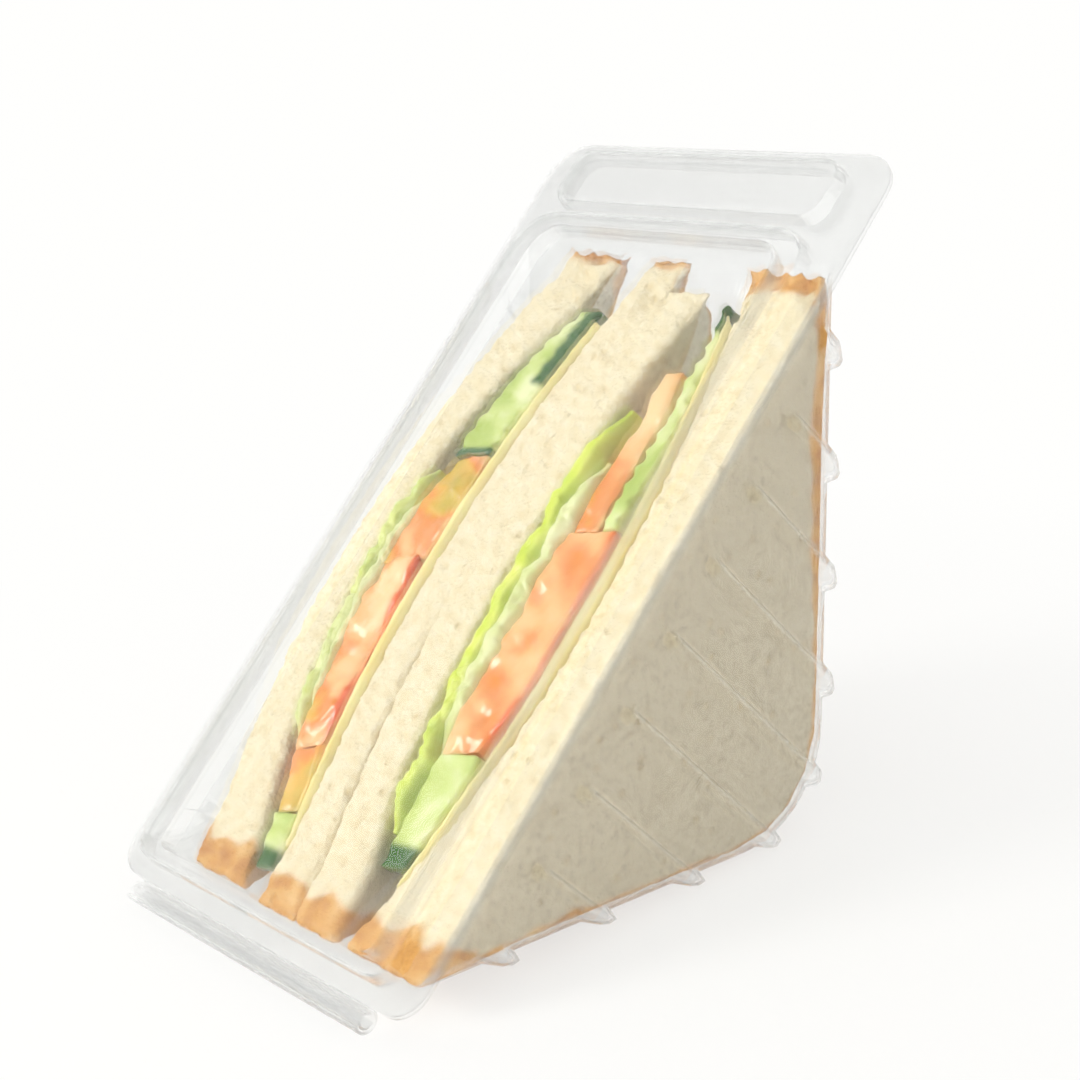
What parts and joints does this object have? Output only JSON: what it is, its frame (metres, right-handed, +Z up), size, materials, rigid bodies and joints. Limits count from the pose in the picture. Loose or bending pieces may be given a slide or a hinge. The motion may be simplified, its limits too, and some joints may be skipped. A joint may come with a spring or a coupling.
{
  "type": "sandwich wedge pack",
  "caption": "Clear thermoformed wedge pack with a hinged flat lid and ribbed tray, holding two filled sandwich triangles side by side.",
  "frame": {"origin": "middle of the pack's footprint, on the surface it stands on", "axes": "+Z up, +Y from the hinge at the front to the tall back wall, +X to the right across the pack"},
  "size_m": [0.1034, 0.1504, 0.1388],
  "materials": {
    "clear_plastic": "clear thermoformed PET sheet, glossy",
    "bread": "soft white sandwich bread with a brown crust",
    "lettuce": "fresh wet leaf",
    "cheese": "pale sliced cheese",
    "tomato": "cut tomato, wet",
    "cucumber": "crinkle-cut cucumber with dark green skin"
  },
  "bodies": {
    "pack": {"tray": "clear_plastic", "bread_slice_1": "bread", "bread_slice_2": "bread", "bread_slice_3": "bread", "bread_slice_4": "bread", "lettuce_leaf_1": "lettuce", "lettuce_leaf_2": "lettuce", "cheese_slice_1": "cheese", "cheese_slice_2": "cheese", "tomato_slice_1": "tomato", "tomato_slice_2": "tomato", "tomato_slice_3": "tomato", "tomato_slice_4": "tomato", "tomato_slice_5": "tomato", "cucumber_slice_1": "cucumber", "cucumber_slice_2": "cucumber", "cucumber_slice_3": "cucumber", "cucumber_slice_4": "cucumber"},
    "lid": {"lid": "clear_plastic"}
  },
  "joints": [
    {"name": "lid_hinge", "type": "hinge", "parent": "pack", "child": "lid", "pos_m": [0, -0.07258, 0.00264], "axis": [1, 0, 0], "range_deg": [0, 120]}
  ]
}
